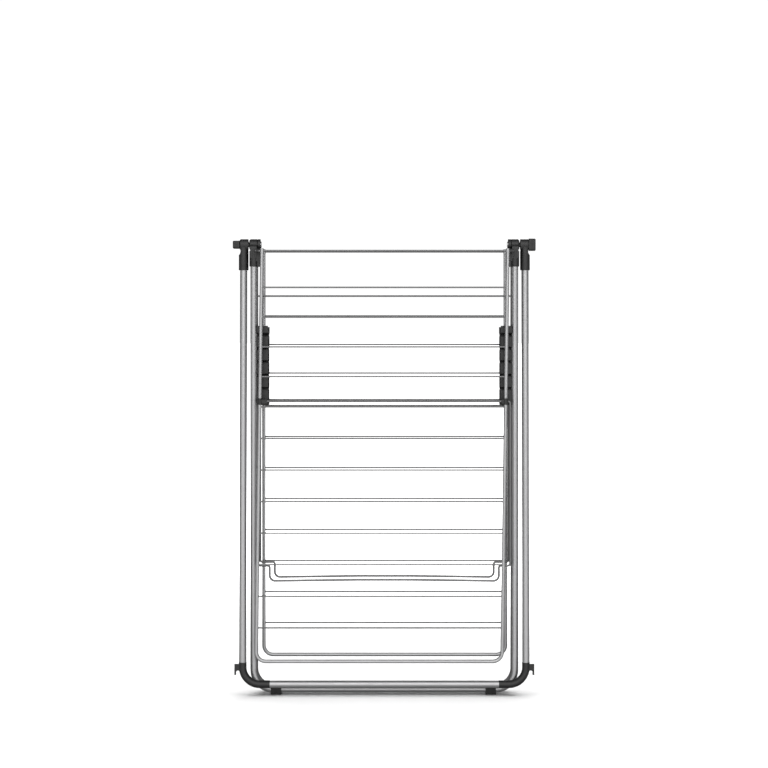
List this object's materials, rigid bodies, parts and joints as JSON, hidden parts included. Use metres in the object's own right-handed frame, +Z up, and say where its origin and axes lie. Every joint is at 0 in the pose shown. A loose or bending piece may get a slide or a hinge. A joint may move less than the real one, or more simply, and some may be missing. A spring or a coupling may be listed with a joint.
{
  "type": "folding laundry airer",
  "caption": "Free-standing folding laundry airer, folded flat, with two winged rod panels on props and a swing-up hanger rail.",
  "frame": {"origin": "middle of the folded footprint, on the floor under the feet", "axes": "+Z up, +X to the right along the bars, +Y to the rear; the hanger rail is on the -Y side"},
  "size_m": [0.68, 0.077, 1.0218],
  "materials": {
    "silver_tube": "silver-grey metallic lacquer, satin",
    "silver_wire": "silver-grey metallic lacquer, satin",
    "bright_steel": "zinc plated",
    "black_plastic": "fine moulded texture",
    "black_rubber": "matt"
  },
  "bodies": {
    "top_axle": {"axle_left": "bright_steel", "axle_right": "bright_steel", "hinge_washers": "black_plastic"},
    "front_leg": {"front_leg_tube": "silver_tube", "front_leg_brace": "silver_wire", "front_feet": "black_rubber", "front_bracket_rivets": "bright_steel", "front_cap_left": "black_plastic", "front_cap_right": "black_plastic", "front_bracket_left": "black_plastic", "front_bracket_right": "black_plastic"},
    "rear_leg": {"rear_leg_tube": "silver_tube", "rear_leg_brace": "silver_wire", "rear_feet": "black_rubber", "rear_bracket_rivets": "bright_steel", "rear_cap_left": "black_plastic", "rear_cap_right": "black_plastic", "rear_bracket_left": "black_plastic", "rear_bracket_right": "black_plastic"},
    "hanger_rail": {"rail_bottom_bar": "silver_tube", "rail_tube_left": "silver_tube", "rail_elbow_left": "black_plastic", "rail_tee_left": "black_plastic", "rail_tube_right": "silver_tube", "rail_elbow_right": "black_plastic", "rail_tee_right": "black_plastic"},
    "lock_knob_left": {"lock_knob_left": "black_plastic"},
    "lock_knob_right": {"lock_knob_right": "black_plastic"},
    "front_wing": {"front_wing_frame": "silver_tube", "front_wing_rungs": "silver_wire", "front_wing_hinge_rod": "silver_wire", "front_wing_plugs": "silver_tube", "front_prop_clips": "black_plastic"},
    "rear_wing": {"rear_wing_frame": "silver_tube", "rear_wing_rungs": "silver_wire", "rear_wing_hinge_rod": "silver_wire", "rear_wing_plugs": "silver_tube", "rear_prop_clips": "black_plastic"},
    "front_prop": {"front_prop": "silver_wire"},
    "rear_prop": {"rear_prop": "silver_wire"}
  },
  "joints": [
    {"name": "front_leg_spread", "type": "hinge", "parent": "top_axle", "child": "front_leg", "pos_m": [0, 0, 1.008], "axis": [-1, 0, 0], "range_deg": [0, 22]},
    {"name": "rear_leg_spread", "type": "hinge", "parent": "top_axle", "child": "rear_leg", "pos_m": [0, 0, 1.008], "axis": [1, 0, 0], "range_deg": [0, 22]},
    {"name": "hanger_rail_swing", "type": "hinge", "parent": "front_leg", "child": "hanger_rail", "pos_m": [0, 0, 1.008], "axis": [-1, 0, 0], "range_deg": [0, 180]},
    {"name": "lock_knob_left_turn", "type": "hinge", "parent": "top_axle", "child": "lock_knob_left", "pos_m": [-0.3326, 0, 1.008], "axis": [1, 0, 0], "range_deg": [0, 90]},
    {"name": "lock_knob_right_turn", "type": "hinge", "parent": "top_axle", "child": "lock_knob_right", "pos_m": [0.3326, 0, 1.008], "axis": [1, 0, 0], "range_deg": [0, 90]},
    {"name": "front_wing_lift", "type": "hinge", "parent": "front_leg", "child": "front_wing", "pos_m": [0, -0.033, 0.9935], "axis": [-1, 0, 0], "range_deg": [0, 81.02]},
    {"name": "front_prop_swing", "type": "hinge", "parent": "front_wing", "child": "front_prop", "pos_m": [0, -0.026, 0.6573], "axis": [1, 0, 0], "range_deg": [0, 150.6]},
    {"name": "rear_wing_lift", "type": "hinge", "parent": "rear_leg", "child": "rear_wing", "pos_m": [0, 0.033, 0.9935], "axis": [1, 0, 0], "range_deg": [0, 81.02]},
    {"name": "rear_prop_swing", "type": "hinge", "parent": "rear_wing", "child": "rear_prop", "pos_m": [0, 0.026, 0.6573], "axis": [-1, 0, 0], "range_deg": [0, 150.6]}
  ],
  "couplings": [
    {"joint": "rear_leg_spread", "follows": "front_leg_spread", "ratio": 1},
    {"joint": "front_prop_swing", "follows": "front_wing_lift", "ratio": 1.8575},
    {"joint": "rear_prop_swing", "follows": "rear_wing_lift", "ratio": 1.8575}
  ]
}
